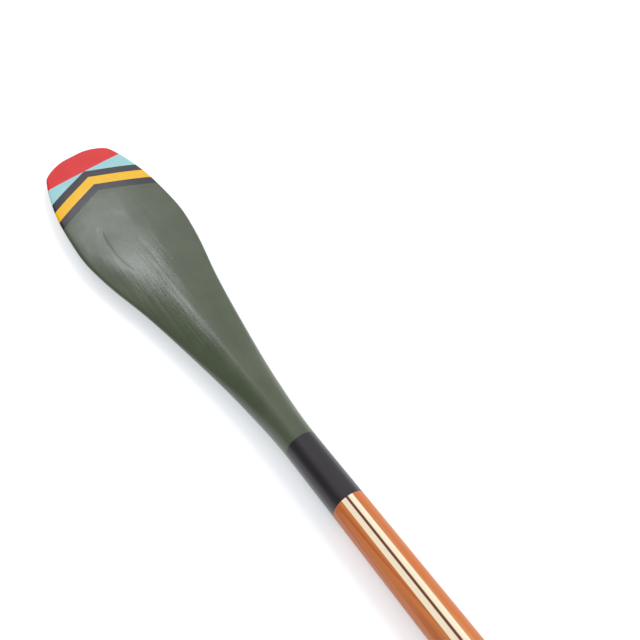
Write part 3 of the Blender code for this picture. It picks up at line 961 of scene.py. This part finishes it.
def painted_bands(blank, groups):
    """The bands of the sheath, from the red tip to the black band."""
    paints = {}
    for name, colors in PAINTS.items():
        paints[name] = paint_material(f"varnished_{name}_paint", colors, groups, creased=name == "green")
    first = RED_TIP_LENGTH
    second = first + DARK_CHEVRON_LENGTH
    third = second + YELLOW_CHEVRON_LENGTH
    fourth = third + DARK_CHEVRON_LENGTH
    finish(square_band(blank, "red_tip", 0.0, first), paints["red"], ["paint_red_tip"])
    finish(teal_corner(blank, "teal_corner_left", 1), paints["teal"], ["paint_teal_left"])
    finish(teal_corner(blank, "teal_corner_right", -1), paints["teal"], ["paint_teal_right"])
    for name, start, stop, paint, node in (
            ("dark_chevron_outer", first, second, "dark", "paint_dark_chevron_outer"),
            ("yellow_chevron", second, third, "yellow", "paint_yellow_chevron"),
            ("dark_chevron_inner", third, fourth, "dark", "paint_dark_chevron_inner"),
            ("green_field", fourth, BLADE_LENGTH, "green", "paint_green_field")):
        finish(chevron_band(blank, name, start, stop), paints[paint], [node])
    band = square_band(blank, "black_throat_band", BLADE_LENGTH, PAINT_LENGTH)
    finish(band, paints["black"], ["paint_black_band"])


def build_paddle():
    """Model and finish every piece, and give the planks under the paint their wood."""
    groups = {"grain": wood_grain_group(), "glue": glue_line_group(), "sheath": sheath_group()}
    blank = carved_blank()
    wood = let_in_wood(blank)
    cedar, basswood = wooden_pieces(wood, groups)
    painted_bands(blank, groups)
    for form in (blank, wood):
        bpy.data.objects.remove(form)
    for place, material in (("inner", cedar), ("middle", basswood), ("outer", cedar)):
        for side in ("left", "right"):
            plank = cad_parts[f"blade_plank_{place}_{side}"]
            plank.data.materials.clear()
            plank.data.materials.append(material)


def bearing(azimuth, elevation):
    """A direction from the blade: the azimuth is turned from the tip's end towards the left hand."""
    turn, lift = math.radians(azimuth), math.radians(elevation)
    return Vector((-math.cos(lift) * math.cos(turn), math.cos(lift) * math.sin(turn), math.sin(lift)))


def pale_floor():
    """A matt floor that the camera and gloss see as nearly white, and that takes the paddle's shadow."""
    deselect()
    bpy.ops.mesh.primitive_plane_add(size=FLOOR_SIZE, location=(0, 0, 0))
    floor = bpy.context.object
    floor.name = "pale_floor"
    material = bpy.data.materials.new("pale_floor")
    material.use_nodes = True
    tree = material.node_tree
    tree.nodes.remove(tree.nodes["Principled BSDF"])
    matt = add_node(tree, "ShaderNodeBsdfDiffuse")
    matt.inputs["Color"].default_value = FLOOR_COLOR
    lift = add_node(tree, "ShaderNodeEmission")
    lift.inputs["Color"].default_value = FLOOR_LIFT_COLOR
    seen = add_node(tree, "ShaderNodeLightPath")
    mirrored = math_node(tree, "MAXIMUM", seen.outputs["Is Camera Ray"], seen.outputs["Is Glossy Ray"])
    feed(tree, product(tree, mirrored, FLOOR_LIFT), lift.inputs["Strength"])
    both = add_node(tree, "ShaderNodeAddShader")
    feed(tree, matt.outputs[0], both.inputs[0])
    feed(tree, lift.outputs[0], both.inputs[1])
    feed(tree, both.outputs[0], tree.nodes["Material Output"].inputs["Surface"])
    floor.data.materials.append(material)


def wall_patch(tree, look, middle, reach, core):
    """A round patch of the walls: 1 inside its core and 0 beyond its reach, in degrees from its middle."""
    toward = add_node(tree, "ShaderNodeVectorMath", operation="DOT_PRODUCT")
    feed(tree, look, toward.inputs[0])
    toward.inputs[1].default_value = middle
    return remap(tree, toward.outputs["Value"], math.cos(math.radians(reach)), math.cos(math.radians(core)))


def white_room():
    """Pale walls that the paddle mirrors. The camera sees them white."""
    world = bpy.data.worlds.new("white_room")
    world.use_nodes = True
    tree = world.node_tree
    room = tree.nodes["Background"]
    room.inputs["Color"].default_value = (1, 1, 1, 1)
    look = add_node(tree, "ShaderNodeTexCoord").outputs["Generated"]
    _, y, _ = axes(tree, look)
    wall = remap(tree, y, *WALL_CHANGES, WALL_RIGHT, WALL_LEFT)
    for azimuth, elevation, reach, core, light in WALL_PATCHES:
        patch = wall_patch(tree, look, bearing(azimuth, elevation), reach, core)
        wall = math_node(tree, "MULTIPLY_ADD", patch, light, wall)
    seen = add_node(tree, "ShaderNodeLightPath")
    feed(tree, math_node(tree, "MAXIMUM", wall, seen.outputs["Is Camera Ray"]), room.inputs["Strength"])
    bpy.context.scene.world = world


def softbox(name, azimuth, elevation, distance, size, radiance, color, roll):
    """A panel of light that faces the blade."""
    away = bearing(azimuth, elevation)
    data = bpy.data.lights.new(name, "AREA")
    data.shape = "RECTANGLE"
    data.size, data.size_y = size
    data.energy = radiance * math.pi * size[0] * size[1]
    data.color = color
    lamp = bpy.data.objects.new(name, data)
    bpy.context.scene.collection.objects.link(lamp)
    lamp.location = Vector((TIP_X + BLADE_LENGTH / 2, 0, AXIS_HEIGHT)) + away * distance
    turn = Quaternion((0, 0, 1), math.radians(roll))
    lamp.rotation_euler = (away.to_track_quat("Z", "Y") @ turn).to_euler()


def photo_view():
    """The camera, at the photograph's own angle."""
    camera = bpy.data.cameras.new("photo_view")
    camera.lens = CAMERA_LENS
    camera.sensor_width = CAMERA_SENSOR
    viewer = bpy.data.objects.new("photo_view", camera)
    bpy.context.scene.collection.objects.link(viewer)
    view = Matrix((CAMERA_RIGHT, CAMERA_UP, CAMERA_BACK)).transposed().to_4x4()
    view.translation = CAMERA_PLACE
    viewer.matrix_world = view
    bpy.context.scene.camera = viewer


def studio():
    """Pale floor, white surroundings, softboxes and the camera."""
    pale_floor()
    white_room()
    for name, values in SOFTBOXES.items():
        softbox(name, *values)
    photo_view()
    bpy.context.scene.view_settings.view_transform = "Standard"


build_paddle()
studio()
